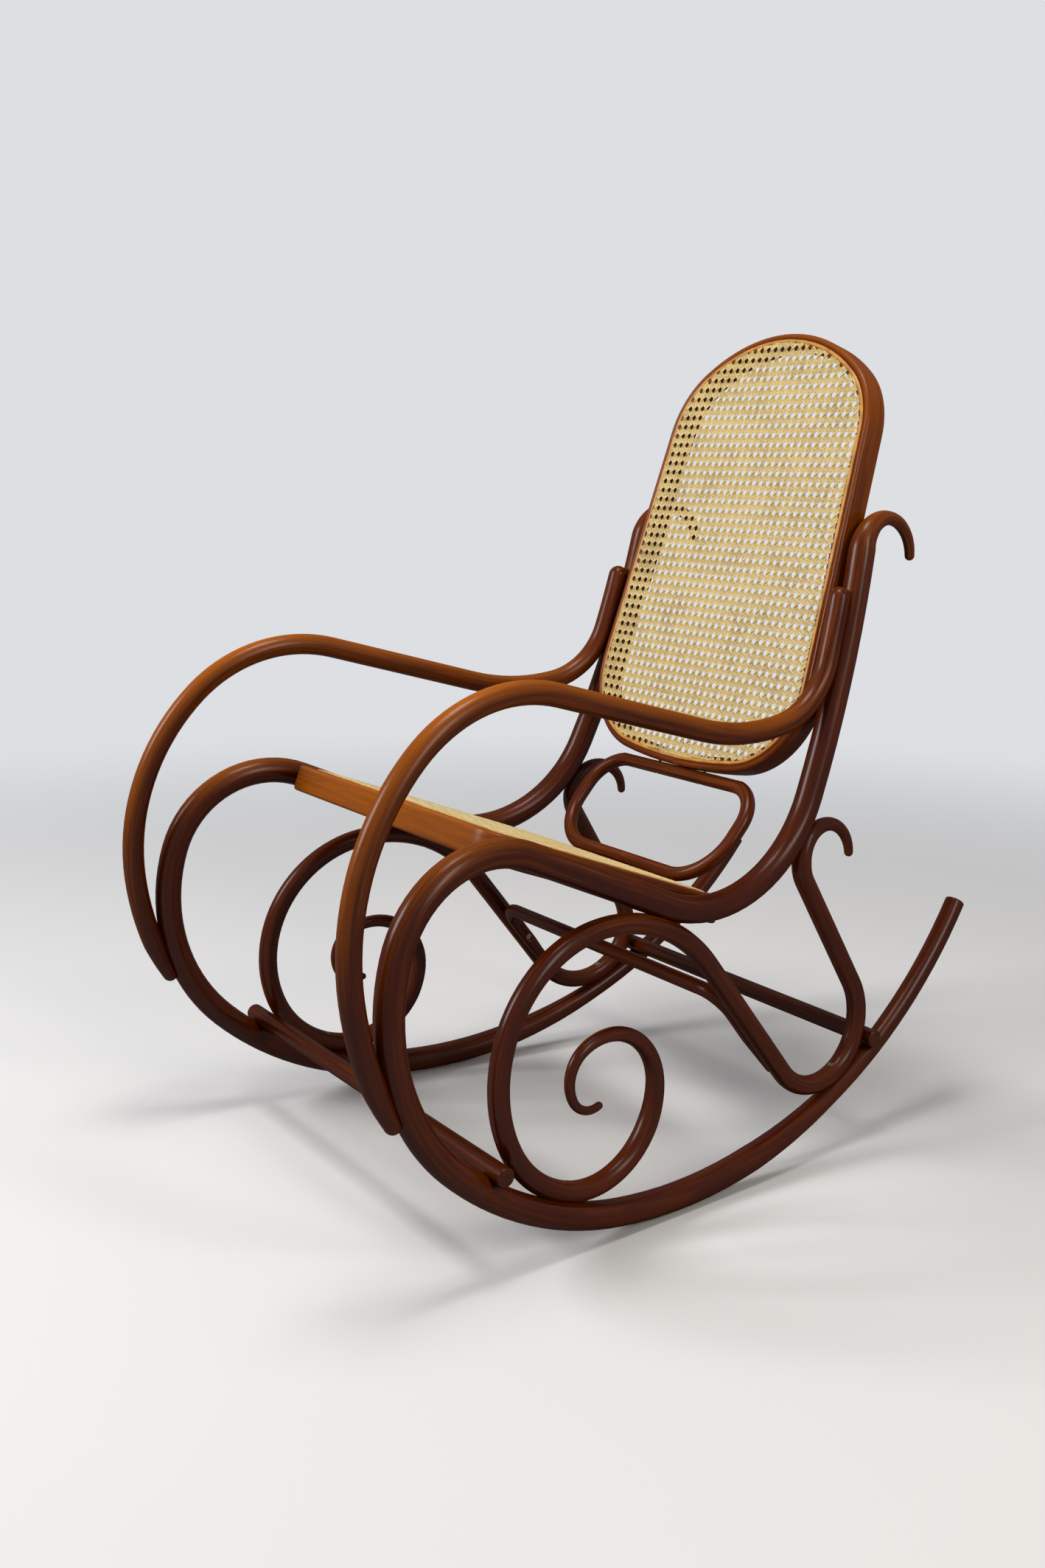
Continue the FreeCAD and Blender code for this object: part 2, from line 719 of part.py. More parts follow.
for number, position in enumerate(bow_screw_positions, 1):
    distance = bow_bar_position + position
    scroll_axis = side_point(fall_run.at(distance)[0])
    inward = side_normal * -1.0
    leg_axis = scroll_axis + inward * bow_gap
    from_foot = bow_leg_length - position
    leg_radius = bow_tip_radius + (bow_radius - bow_tip_radius) * min(1.0, from_foot / bow_taper)
    start = leg_axis + inward * (leg_radius - screw_recess)
    length = bow_gap + leg_radius - screw_recess + scroll_radius - screw_wall
    hole = screw_hole(start, side_normal, length)
    pieces["scroll"] = pieces["scroll"].cut(hole)
    bow = bow.cut(hole).cut(mirrored(hole))
    screws["bow_screw_%d" % number] = screw(start, side_normal, length)
nodes["bow_brace"] = bow

# Seat plane: x across, s rearwards down the slope, n up from the top face
crest_high = (crest_run.centre[0], crest_run.centre[1] + loop_crest_radius)
crest_high = side_point(crest_high)
slope = radians(seat_slope)
seat_rear_dir = V(0, cos(slope), -sin(slope))
seat_up_dir = V(0, sin(slope), cos(slope))
seat_origin = V(0, crest_high.y, crest_high.z + seat_over_crest) + seat_rear_dir * seat_setback


def inner_half_width(point):
    """Half width at a point's height and depth, just inside the side rods."""
    middle = floor_half_width + slope_x_by_y * point.y + slope_x_by_z * point.z
    return middle - (side_rod_radius + fit_gap) / side_normal.x


def corner(half_width_at, position, radius, direction):
    """Circle of a corner that touches the side line and an end line at a position."""
    centre = position + direction * radius
    lean = (half_width_at(1.0) - half_width_at(0.0))
    half = half_width_at(centre) - radius * sqrt(1 + lean * lean)
    return half, centre, radius


def seat_half(s):
    return inner_half_width(seat_origin + seat_rear_dir * s - seat_up_dir * seat_side_level)


front_x, front_s, _ = corner(seat_half, 0.0, seat_front_corner, 1)
rear_x, rear_s, _ = corner(seat_half, seat_depth, seat_rear_corner, -1)
seat_circles = [
    (-front_x, front_s, seat_front_corner),
    (front_x, front_s, seat_front_corner),
    (rear_x, rear_s, seat_rear_corner),
    (-rear_x, rear_s, seat_rear_corner),
]
seat_matrix = basis(seat_up_dir, V(1, 0, 0), seat_rear_dir, seat_origin)

# Back plane: x across, s up the lean, and depth to the rear
lean = radians(back_lean)
back_up_dir = V(0, sin(lean), cos(lean))
back_rear_dir = V(0, cos(lean), -sin(lean))
upright_point = side_point(upright_run.at(back_reference)[0])
back_origin = V(0, upright_point.y, upright_point.z) - back_rear_dir * back_forward


def back_half(s):
    return inner_half_width(back_origin + back_rear_dir * back_forward + back_up_dir * s)


side_lean = sqrt(1 + (back_half(1.0) - back_half(0.0)) ** 2)
shoulder_s = back_rise - back_shoulder_radius
low_s = back_corner_radius - back_drop
for _ in range(12):
    shoulder_x = back_half(shoulder_s) - back_shoulder_radius * side_lean
    top_apart = sqrt((back_top_radius - back_shoulder_radius) ** 2 - shoulder_x ** 2)
    shoulder_s = back_rise - back_top_radius + top_apart
    low_x = back_half(low_s) - back_corner_radius * side_lean
    bottom_apart = sqrt((back_bottom_radius - back_corner_radius) ** 2 - low_x ** 2)
    low_s = back_bottom_radius - back_drop - bottom_apart
back_circles = [
    (low_x, low_s, back_corner_radius),
    (shoulder_x, shoulder_s, back_shoulder_radius),
    (0.0, back_rise - back_top_radius, back_top_radius),
    (-shoulder_x, shoulder_s, back_shoulder_radius),
    (-low_x, low_s, back_corner_radius),
    (0.0, back_bottom_radius - back_drop, back_bottom_radius),
]
back_matrix = basis(back_rear_dir * -1.0, V(1, 0, 0), back_up_dir, back_origin)


def slab(circles, inset, low, high):
    """Solid of an outline drawn in by an inset, between two levels across its plane."""
    face = Part.Face(outline_wire(ring(circles, inset)))
    face.translate(V(low, 0, 0))
    return face.extrude(V(high - low, 0, 0))


def bent_ring(circles, width, depth, groove_inset, rounding):
    """Frame ring with rounded edges and a groove for the cane in its front face."""
    body = slab(circles, 0.0, -depth, 0.0).cut(slab(circles, width, -depth - 1.0, 1.0))
    flat_edges = [edge for edge in body.Edges if edge.BoundBox.XLength < 1e-6]
    rims = [edge for edge in flat_edges if edge.BoundBox.XMin > -1e-6 or edge.BoundBox.XMin < -depth + 1e-6]
    body = body.makeFillet(rounding, rims)
    groove = slab(circles, groove_inset, -groove_depth, 1.0)
    groove = groove.cut(slab(circles, groove_inset + spline_width, -groove_depth - 1.0, 2.0))
    return body.cut(groove)


def spline_ring(circles, groove_inset):
    """Cord pressed into the groove: flat sides and a crowned top."""
    outer = slab(circles, groove_inset + screw_clearance, -spline_depth, spline_crown)
    inner_inset = groove_inset + spline_width - screw_clearance
    body = outer.cut(slab(circles, inner_inset, -spline_depth - 1.0, spline_crown + 1.0))
    flat_edges = [edge for edge in body.Edges if edge.BoundBox.XLength < 1e-6]
    rims = [edge for edge in flat_edges if edge.BoundBox.XMin > spline_crown - 1e-6]
    return body.makeFillet(spline_rounding, rims)


def cane_net(circles, groove_inset, centre_s):
    """Woven cane as one sheet with square gaps, inside the groove."""
    edge_inset = groove_inset + spline_width + screw_clearance
    sheet = Part.Face(outline_wire(ring(circles, edge_inset)))
    inside = Part.Face(outline_wire(ring(circles, edge_inset + cane_margin)))
    box = inside.BoundBox
    half = cane_gap / 2.0
    wires = [sheet.OuterWire]
    columns = int(ceil(box.YMax / cane_pitch))
    rows = int(ceil(box.ZLength / cane_pitch))
    for column in range(-columns, columns + 1):
        for row in range(-rows, rows + 1):
            y = column * cane_pitch
            z = centre_s + row * cane_pitch
            corners = [V(0, y + a * half, z + b * half) for a, b in ((-1, -1), (1, -1), (1, 1), (-1, 1))]
            if all(inside.isInside(point, 1e-3, True) for point in corners):
                wires.append(Part.makePolygon(corners + corners[:1]))
    face = Part.Face(wires)
    face.validate()
    face.translate(V(glue_gap, 0, 0))
    return face.extrude(V(cane_thickness, 0, 0)), len(wires) - 1


seat_frame = placed(bent_ring(seat_circles, seat_ring_width, seat_ring_depth, seat_groove_inset,
                              seat_edge_rounding), seat_matrix)
back_frame = placed(bent_ring(back_circles, back_ring_width, back_ring_depth, back_groove_inset,
                              back_edge_rounding), back_matrix)
nodes["seat_spline"] = placed(spline_ring(seat_circles, seat_groove_inset), seat_matrix)
nodes["back_spline"] = placed(spline_ring(back_circles, back_groove_inset), back_matrix)
seat_net, seat_gaps = cane_net(seat_circles, seat_groove_inset, seat_depth / 2.0)
back_net, back_gaps = cane_net(back_circles, back_groove_inset, (back_rise - back_drop) / 2.0)
nodes["seat_cane"] = placed(seat_net, seat_matrix)
nodes["back_cane"] = placed(back_net, back_matrix)
print("cane gaps: seat", seat_gaps, "back", back_gaps)

# Seat screws, from inside the seat's side rails into the side rods
for number, position in enumerate(seat_screw_positions, 1):
    level = seat_origin + seat_rear_dir * position - seat_up_dir * seat_screw_level
    half = seat_half(position)
    start = V(half - seat_ring_width + screw_recess, level.y, level.z)
    length = seat_ring_width - screw_recess + side_rod_radius
    hole = screw_hole(start, V(1, 0, 0), length)
    pieces["side_rod"] = pieces["side_rod"].cut(hole)
    seat_frame = seat_frame.cut(hole).cut(mirrored(hole))
    screws["seat_screw_%d" % number] = screw(start, V(1, 0, 0), length)

# Back screws, from inside the ring into the uprights
for number, height in enumerate(back_screw_heights, 1):
    level = back_origin + back_rear_dir * (back_ring_depth / 2.0 + back_screw_setback) + back_up_dir * height
    half = back_half(height)
    start = V(half - back_ring_width + screw_recess, level.y, level.z)
    length = back_ring_width - screw_recess + side_rod_radius
    hole = screw_hole(start, V(1, 0, 0), length)
    pieces["side_rod"] = pieces["side_rod"].cut(hole)
    back_frame = back_frame.cut(hole).cut(mirrored(hole))
    screws["back_screw_%d" % number] = screw(start, V(1, 0, 0), length)

# Lumbar loop: from the back ring's lower edge to the top of the seat's rear rail
rod_seat = lumbar_radius - loop_flat_depth + glue_gap
loop_top = back_origin + back_rear_dir * (back_ring_depth / 2.0) - back_up_dir * (back_drop + rod_seat)
loop_foot = seat_origin + seat_rear_dir * (seat_depth - lumbar_from_rear) + seat_up_dir * rod_seat
loop_up = loop_top - loop_foot
loop_height = loop_up.Length
loop_up = loop_up.normalize()
loop_rear = V(1, 0, 0).cross(loop_up).normalize() * -1.0
upper_x = lumbar_half_width - lumbar_upper_corner
lower_x = lumbar_half_width - lumbar_lower_corner
lumbar_circles = [
    (lower_x, lumbar_lower_corner, lumbar_lower_corner),
    (upper_x, loop_height - lumbar_upper_corner, lumbar_upper_corner),
    (-upper_x, loop_height - lumbar_upper_corner, lumbar_upper_corner),
    (-lower_x, lumbar_lower_corner, lumbar_lower_corner),
]
loop_matrix = basis(V(1, 0, 0).cross(loop_up), V(1, 0, 0), loop_up, loop_foot)
lumbar = placed(closed_rod(ring(lumbar_circles), lumbar_radius), loop_matrix)
for name, axis_point, outward, frame in (
        ("loop_screw_top", loop_top, back_up_dir, "back"),
        ("loop_screw_seat", loop_foot, seat_up_dir * -1.0, "seat")):
    width_dir = outward.cross(V(1, 0, 0))
    face = block(axis_point + outward * (lumbar_radius - loop_flat_depth), V(1, 0, 0), 2 * lumbar_half_width,
                 width_dir, 4 * lumbar_radius, outward, 2 * lumbar_radius)
    lumbar = lumbar.cut(face)
    at = axis_point + V(lumbar_screw_offset, 0, 0)
    if frame == "back":
        start = at - outward * (lumbar_radius - screw_recess)
        length = lumbar_radius - screw_recess + rod_seat + back_ring_width - screw_wall
        direction = outward
    else:
        start = at + outward * (rod_seat + seat_ring_depth - screw_recess)
        length = rod_seat + seat_ring_depth - screw_recess + lumbar_radius - screw_wall
        direction = outward * -1.0
    hole = screw_hole(start, direction, length)
    lumbar = lumbar.cut(hole).cut(mirrored(hole))
    if frame == "back":
        back_frame = back_frame.cut(hole).cut(mirrored(hole))
    else:
        seat_frame = seat_frame.cut(hole).cut(mirrored(hole))
    screws[name] = screw(start, direction, length)
nodes["lumbar_loop"] = lumbar
nodes["seat_frame"] = seat_frame
nodes["back_frame"] = back_frame

for name, shape in list(pieces.items()) + list(screws.items()):
    add_pair(name, shape)

# The origin goes under the middle of the box
for name in nodes:
    nodes[name] = nodes[name].copy()
whole = Part.Compound(list(nodes.values()))
box = whole.optimalBoundingBox(False, False)
shift = V(-(box.XMin + box.XMax) / 2.0, -(box.YMin + box.YMax) / 2.0, -box.ZMin)
os.makedirs("parts", exist_ok=True)
mass = 0.0
moment = V(0, 0, 0)
for name, shape in nodes.items():
    shape.translate(shift)
    if not shape.isValid() or len(shape.Solids) != 1:
        print("check", name, shape.isValid(), len(shape.Solids))
    shape.exportStep("parts/%s.step" % name)
    mass += shape.Volume
    moment += shape.CenterOfGravity * shape.Volume
rest_y = shift.y
print("nodes", len(nodes), "size", box.XLength, box.YLength, box.ZLength)
print("volume", mass, "middle of volume", moment * (1.0 / mass), "rest point y", rest_y)
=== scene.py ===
import math

import bmesh
import bpy
from mathutils import Matrix, Vector
from mathutils.kdtree import KDTree


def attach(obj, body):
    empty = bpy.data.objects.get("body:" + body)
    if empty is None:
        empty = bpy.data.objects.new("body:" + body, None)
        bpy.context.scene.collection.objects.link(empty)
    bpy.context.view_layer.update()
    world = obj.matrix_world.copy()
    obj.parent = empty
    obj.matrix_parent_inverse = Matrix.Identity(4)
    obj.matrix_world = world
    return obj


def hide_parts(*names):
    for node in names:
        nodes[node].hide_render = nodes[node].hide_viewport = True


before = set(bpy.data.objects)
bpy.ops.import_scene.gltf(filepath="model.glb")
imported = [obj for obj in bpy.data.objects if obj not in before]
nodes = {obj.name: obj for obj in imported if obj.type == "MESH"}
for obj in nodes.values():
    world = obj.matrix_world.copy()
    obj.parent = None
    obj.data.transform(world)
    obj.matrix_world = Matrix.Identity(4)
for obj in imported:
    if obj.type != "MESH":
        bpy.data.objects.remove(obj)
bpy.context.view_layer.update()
MM = 0.001
print("solids in the frame:", len(nodes))

# %% [markdown]
# Colours are written as the hex values that a paint program shows. Blender's shaders work in
# linear light, so one function turns one into the other. A second small function adds a shader
# node, sets its values and links its inputs, so that each finish below reads as a short list.
# Its sockets go by name, or by number (i0, i6) where a node gives several sockets one name, and
# stops are a colour ramp's positions and colours.
# %% Colour and node helpers


def linear(hex_colour):
    """sRGB hex to a linear colour with alpha."""
    shown = [int(hex_colour[i:i + 2], 16) / 255 for i in (1, 3, 5)]
    light = [v / 12.92 if v <= 0.04045 else ((v + 0.055) / 1.055) ** 2.4 for v in shown]
    return (*light, 1.0)


def add(tree, kind, settings=None, stops=None, **sockets):
    """Adds a node; a socket given another node's output is linked, and anything else is a value."""
    node = tree.nodes.new(kind)
    for key, value in (settings or {}).items():
        setattr(node, key, value)
    for i, (position, colour) in enumerate(stops or []):
        elements = node.color_ramp.elements
        element = elements[i] if i < 2 else elements.new(position)
        element.position = position
        element.color = linear(colour) if isinstance(colour, str) else (colour,) * 3 + (1.0,)
    for key, value in sockets.items():
        target = node.inputs[int(key[1:]) if key[1:].isdigit() else key.replace("_", " ")]
        if isinstance(value, bpy.types.NodeSocket):
            tree.links.new(value, target)
        else:
            target.default_value = value
    return node


def new_finish(name):
    """A material with nothing but its shader and its output."""
    material = bpy.data.materials.new(name)
    material.use_nodes = True
    tree = material.node_tree
    tree.nodes.clear()
    shader = add(tree, "ShaderNodeBsdfPrincipled")
    add(tree, "ShaderNodeOutputMaterial", Surface=shader.outputs[0])
    return material, tree, shader


print("middle grey in linear light:", round(linear("#808080")[0], 3))

# %% [markdown]
# Grain has to run along each rod, round every bend, because the wood was straight when it grew.
# An Object-space texture would cut straight through the bends, and a UV map would show a seam
# down each rod. So each vertex keeps the place that it had before bending: two offsets across
# the rod and the distance along it, stored as an attribute. To find them, the rod's middle line
# is walked as arcs and straight runs, the way a bending form is laid out.
# %% Middle lines of the bent pieces
SAMPLE = 2.0  # millimetres between two samples of a middle line


def walk(start, heading, steps):
    """Points with heading and distance, along (radius, turn) and (0, length) steps."""
    x, y = start
    heading = math.radians(heading)
    samples = []
    distance = 0.0
    for radius, amount in steps:
        length = abs(radius) * math.radians(amount) if radius else amount
        count = max(1, round(length / SAMPLE))
        for i in range(count):
            run = length * i / count
            if radius:
                turned = heading + run / radius
                px = x + radius * (math.sin(turned) - math.sin(heading))
                py = y - radius * (math.cos(turned) - math.cos(heading))
            else:
                turned = heading
                px, py = x + run * math.cos(heading), y + run * math.sin(heading)
            samples.append((px, py, turned, distance + run))
        if radius:
            after = heading + length / radius
            x += radius * (math.sin(after) - math.sin(heading))
            y -= radius * (math.cos(after) - math.cos(heading))
            heading = after
        else:
            x, y = x + length * math.cos(heading), y + length * math.sin(heading)
        distance += length
    samples.append((x, y, heading, distance))
    return samples


class Plane:
    """A flat drawing's place in the chair: an origin and two directions, in millimetres."""

    def __init__(self, origin, across, up):
        self.origin = Vector(origin) * MM
        self.across = Vector(across).normalized()
        self.up = Vector(up).normalized()
        self.normal = self.across.cross(self.up)

    def point(self, x, y, out=0.0):
        return self.origin + (self.across * x + self.up * y + self.normal * out) * MM

    def mirrored(self):
        flip = Vector((-1, 1, 1))
        return Plane(self.origin * flip / MM, self.across * flip, self.up * flip)


print("a quarter bend of 100 mm, mm:", round(walk((0, 0), 0, [(100, 90)])[-1][3], 1))

# %% [markdown]
# Both side frames lie in planes that lean and toe in a little, so each gets its own drawing
# plane, and the right one is the left one mirrored. The two rings, the loop behind the seat and
# the bow under it have theirs. The rods' bends are then read off as a bender would list them:
# a radius and an angle for each bend, or a length where the rod is straight.
# %% Drawing planes and bends
REST_Y = -35.84  # where the rockers rest on the floor
left_side = Plane(
    (264.4, REST_Y, 0), (-0.070627, 0.997503, 0), (-0.045137, -0.003196, 0.998976))
right_side = left_side.mirrored()
seat_plane = Plane((0, -273.195, 470.224), (1, 0, 0), (0, 0.93606, -0.351842))
back_plane = Plane((0, 212.688, 625.732), (1, 0, 0), (0, 0.299873, 0.953979))
loop_plane = Plane((0, 83.415, 344.622), (1, 0, 0), (0, 0.657623, 0.753347))
bow_plane = Plane((0, 50.15, 230.77), (1, 0, 0), (0, -0.619494, 0.785001))

SIDE_ROD = walk((508.82, 278.06), 234.5, [
    (-625, 63), (-415, 35.5), (-230, 63), (-126, 96.5), (0, 208), (180, 90), (1450, 12),
    (-45.5, 170)])
SCROLL = walk((-119.94, 154.83), 202, [
    (-29, 85.5), (-41, 86.5), (-70, 123.5), (-100, 100), (-125, 51.5), (-153.1, 107),
    (-189, 59.8), (0, 201.8), (77, 173.3), (0, 166.6), (-43, 208.5)])
ARMREST = walk((-389.4, 202.7), 118.5, [
    (-360, 22.5), (-275, 52), (-190, 59.3), (0, 214.4), (300, 24.8), (103, 63.5),
    (1423.3, 3)])
LOOP = walk((0, 0), 0, [
    (0, 87), (68, 90), (0, 19.07), (50, 90), (0, 210), (50, 90), (0, 19.07), (68, 90),
    (0, 87)])
BOW = walk((-228, -138), 90.5, [(0, 104.3), (-34, 90.5), (0, 390.7), (-34, 90.5), (0, 104.3)])
print("side rod's length before bending, m:", round(SIDE_ROD[-1][3] * MM, 3))

# %% [markdown]
# A ring is drawn round the circles that its corners and bulges follow. From one circle to the
# next the line runs along the straight line that touches both, unless one circle lies inside
# the other, and the two then share a point. Each ring's line starts at its scarf joint.
# %% Middle lines of the rings


def ring_line(circles, inset):
    """Middle line of a ring round circles (x, y, radius), drawn in, from the lowest point."""
    rounds = [(x, y, r - inset) for x, y, r in circles]
    points = []
    for i, (x, y, r) in enumerate(rounds):
        angles = []
        for j in (i - 1, (i + 1) % len(rounds)):
            ox, oy, other = rounds[j]
            dx, dy = (ox - x, oy - y)
            apart = math.hypot(dx, dy)
            if apart <= abs(other - r) + 0.01:
                way = 1 if r > other else -1
                angles.append(math.atan2(dy * way, dx * way))
            elif j == (i - 1) % len(rounds):
                angles.append(math.atan2(dy, dx) + math.acos((r - other) / apart))
            else:
                angles.append(math.atan2(dy, dx) - math.acos((r - other) / apart))
        sweep = (angles[1] - angles[0]) % math.tau
        steps = max(2, round(sweep * r / SAMPLE))
        points += [(x + r * math.cos(angles[0] + sweep * k / steps),
                    y + r * math.sin(angles[0] + sweep * k / steps)) for k in range(steps + 1)]
    dense = []
    for (ax, ay), (bx, by) in zip(points, points[1:] + points[:1]):
        count = max(1, round(math.hypot(bx - ax, by - ay) / SAMPLE))
        if math.hypot(bx - ax, by - ay) > 0.01:
            dense += [(ax + (bx - ax) * k / count, ay + (by - ay) * k / count)
                      for k in range(count)]
    first = min(range(len(dense)), key=lambda k: dense[k][1] + 0.001 * abs(dense[k][0]))
    dense = dense[first:] + dense[:first + 1]
    samples = []
    distance = 0.0
    for k, (x, y) in enumerate(dense):
        nx, ny = dense[k + 1] if k + 1 < len(dense) else dense[1]
        samples.append((x, y, math.atan2(ny - y, nx - x), distance))
        distance += math.hypot(nx - x, ny - y)
    return samples


SEAT_CIRCLES = [(-193.29, 48, 48), (193.29, 48, 48), (148.07, 310, 80), (-148.07, 310, 80)]
BACK_CIRCLES = [
    (88.622, -51.748, 115), (71.111, 266.103, 112), (0, 177, 226),
    (-71.111, 266.103, 112), (-88.622, -51.748, 115), (0, 526.5, 700)]
SEAT_RING = ring_line(SEAT_CIRCLES, 23)
BACK_RING = ring_line(BACK_CIRCLES, 9)
print("back ring's length, m:", round(BACK_RING[-1][3] * MM, 3))

# %% [markdown]
# A CAD node comes as loose triangles, so a copy is made and its doubles are merged. The copy is
# smooth except at edges that are sharp on the real piece, such as the ends of the rods.
# %% Copies of the solids
WELD = 0.01 * MM
SLIVER = 0.005 * MM
SHARP_EDGE = math.radians(32)
print("edges stay sharp above, degrees:", round(math.degrees(SHARP_EDGE)))


def merged_copy(node, name):
    """A copy of a CAD node with its doubles merged, smooth except at its real edges."""
    obj = bpy.data.objects.new(name, nodes[node].data.copy())
    bpy.context.scene.collection.objects.link(obj)
    bm = bmesh.new()
    bm.from_mesh(obj.data)
    bmesh.ops.remove_doubles(bm, verts=bm.verts, dist=WELD)
    bmesh.ops.dissolve_degenerate(bm, dist=SLIVER, edges=bm.edges)
    bm.to_mesh(obj.data)
    bm.free()
    obj.data.polygons.foreach_set("use_smooth", [True] * len(obj.data.polygons))
    obj.data.set_sharp_from_angle(angle=SHARP_EDGE)
    return obj

# %% [markdown]
# Every vertex of a copy looks up the nearest point of its middle line. A closed ring is first
# cut through at the scarf joint where its two ends meet, so that the grain breaks there, as it
# does on the real ring. Pieces also start at different places in the pattern.
# %% Straighten the grain
RING_HALF = 0.4  # metres: faces this near the scarf are looked at
ROD_REACH = 0.06  # metres: only this near is the ring cut, and not on its far side
NEAR_SCARF = 0.02  # metres along the line in which a vertex may belong to either end
PIECE_SHIFT = 3.1  # metres of pattern between one piece and the next
print("pattern between two pieces, m:", PIECE_SHIFT)


def cut_at_scarf(obj, plane, line):
    """Opens a ring's mesh across the place where its line starts."""
    x, y, heading, _ = line[0]
    point = plane.point(x, y)
    along = plane.across * math.cos(heading) + plane.up * math.sin(heading)
    bm = bmesh.new()
    bm.from_mesh(obj.data)
    near = [f for f in bm.faces if (f.calc_center_median() - point).length < RING_HALF]
    parts = near + list({e for f in near for e in f.edges})
    parts += list({v for f in near for v in f.verts})
    cut = bmesh.ops.bisect_plane(
        bm, geom=parts, dist=0.001 * MM, plane_co=point, plane_no=along)
    edges = [e for e in cut["geom_cut"] if isinstance(e, bmesh.types.BMEdge)]
    edges = [e for e in edges if (e.verts[0].co - point).length < ROD_REACH]
    bmesh.ops.split_edges(bm, edges=edges)
    bm.to_mesh(obj.data)
    bm.free()


def straighten(obj, plane, line, number, closed=False):
    """Stores where each vertex was before bending: two offsets across and the distance along."""
    tree = KDTree(len(line))
    for i, (x, y, _, _) in enumerate(line):
        tree.insert(plane.point(x, y), i)
    tree.balance()
    length = line[-1][3] * MM
    side_sum = {}
    if closed:
        cut_at_scarf(obj, plane, line)
        mesh = obj.data
        x, y, heading, _ = line[0]
        along = plane.across * math.cos(heading) + plane.up * math.sin(heading)
        start = plane.point(x, y)
        for face in mesh.polygons:
            if (face.center - start).length < RING_HALF:
                ahead = (face.center - start).dot(along)
                for index in face.vertices:
                    side_sum[index] = side_sum.get(index, 0.0) + ahead
    values = []
    for vertex in obj.data.vertices:
        _, i, _ = tree.find(vertex.co)
        x, y, heading, distance = line[i]
        offset = vertex.co - plane.point(x, y)
        along = plane.across * math.cos(heading) + plane.up * math.sin(heading)
        inward = plane.normal.cross(along)
        run = distance * MM + offset.dot(along)
        if closed and run < NEAR_SCARF and side_sum.get(vertex.index, 1) < 0:
            run += length
        if closed and run > length - NEAR_SCARF and side_sum.get(vertex.index, -1) > 0:
            run -= length
        values += [offset.dot(plane.normal), offset.dot(inward), run + PIECE_SHIFT * number]
    layer = obj.data.attributes.new("before_bending", "FLOAT_VECTOR", "POINT")
    layer.data.foreach_set("vector", values)


def straight_bar(obj, number):
    """A bar that was never bent runs along X."""
    low, high = (Vector(c) for c in (obj.bound_box[0], obj.bound_box[6]))
    middle = (low + high) / 2
    values = []
    for vertex in obj.data.vertices:
        run = vertex.co.x + PIECE_SHIFT * number
        values += [vertex.co.y - middle.y, vertex.co.z - middle.z, run]
    layer = obj.data.attributes.new("before_bending", "FLOAT_VECTOR", "POINT")
    layer.data.foreach_set("vector", values)

# %% [markdown]
# Rubbed places catch the eye on an old chair: lacquer thins where hands, legs and backs touch
# it, and the wood shows lighter and more orange. The upper rods get painted light: the same
# lighter colour, more with height. A second attribute holds each vertex's wear, from a few touch
# points with a reach in millimetres, and this painted light, from its height.
# %% Where hands and legs rub, and painted light above the seat
# Painted light: above the seat's height each rod is made lighter, more for each metre.
LIGHTER_ABOVE = 0.42  # metres: the seat's height
LIGHTER_PER_METRE = 0.28  # for each metre above it
ALL_ROUND = 0.25  # share of a rub that also reaches faces turned away from the touch
BASE_WEAR = 0.05
RING_WEAR = 0.08


def paint_wear_and_light(obj, touches, base):
    """Stores wear from touches of (point, reach, strength, direction), and painted light from
    height.
    """
    obj.data.update()
    values = []
    for vertex in obj.data.vertices:
        # painted light: the rods above the seat get lighter with height, as more light falls on
        # them
        amount = base + LIGHTER_PER_METRE * max(0.0, vertex.co.z - LIGHTER_ABOVE)
        for point, reach, strength, direction in touches:
            away = (vertex.co - Vector(point) * MM).length / (reach * MM)
            facing = max(0.0, vertex.normal.dot(Vector(direction).normalized()))
            turned = ALL_ROUND + (1.0 - ALL_ROUND) * facing
            amount += strength * math.exp(-away * away) * turned
        values.append(min(1.0, amount))
    layer = obj.data.attributes.new("wear_and_light", "FLOAT", "POINT")
    layer.data.foreach_set("value", values)

# %% [markdown]
# The wood is beech: pale and even, with fine brown flecks, here stained reddish brown and
# lacquered. The eye gets a dark, warm, half-glossy rod with slow streaks along it, darker where
# the stain sank in. Every pattern has a real width and length along the rod: slow changes of
# tone 30 by 180 mm, streaks 4.5 by 120 mm, fibres 0.9 by 24 mm and flecks 0.8 by 4 mm. Real
# fibres and flecks are finer, and these are as coarse as they need to be to show. The lacquer
# is a thin coat over wood that has no gloss of its own. Its IOR is above a real lacquer's 1.5
# and its weight is low, which draws clear highlights without a milky edge on each round rod.
# %% Stained, lacquered beech
GRAIN = (  # millimetres across and along the rod, detail, roughness
    (30, 180, 3, 0.5), (4.5, 120, 4, 0.55), (0.9, 24, 3, 0.6), (0.8, 4, 1, 0.5))
FLECK = "#8a6a58"


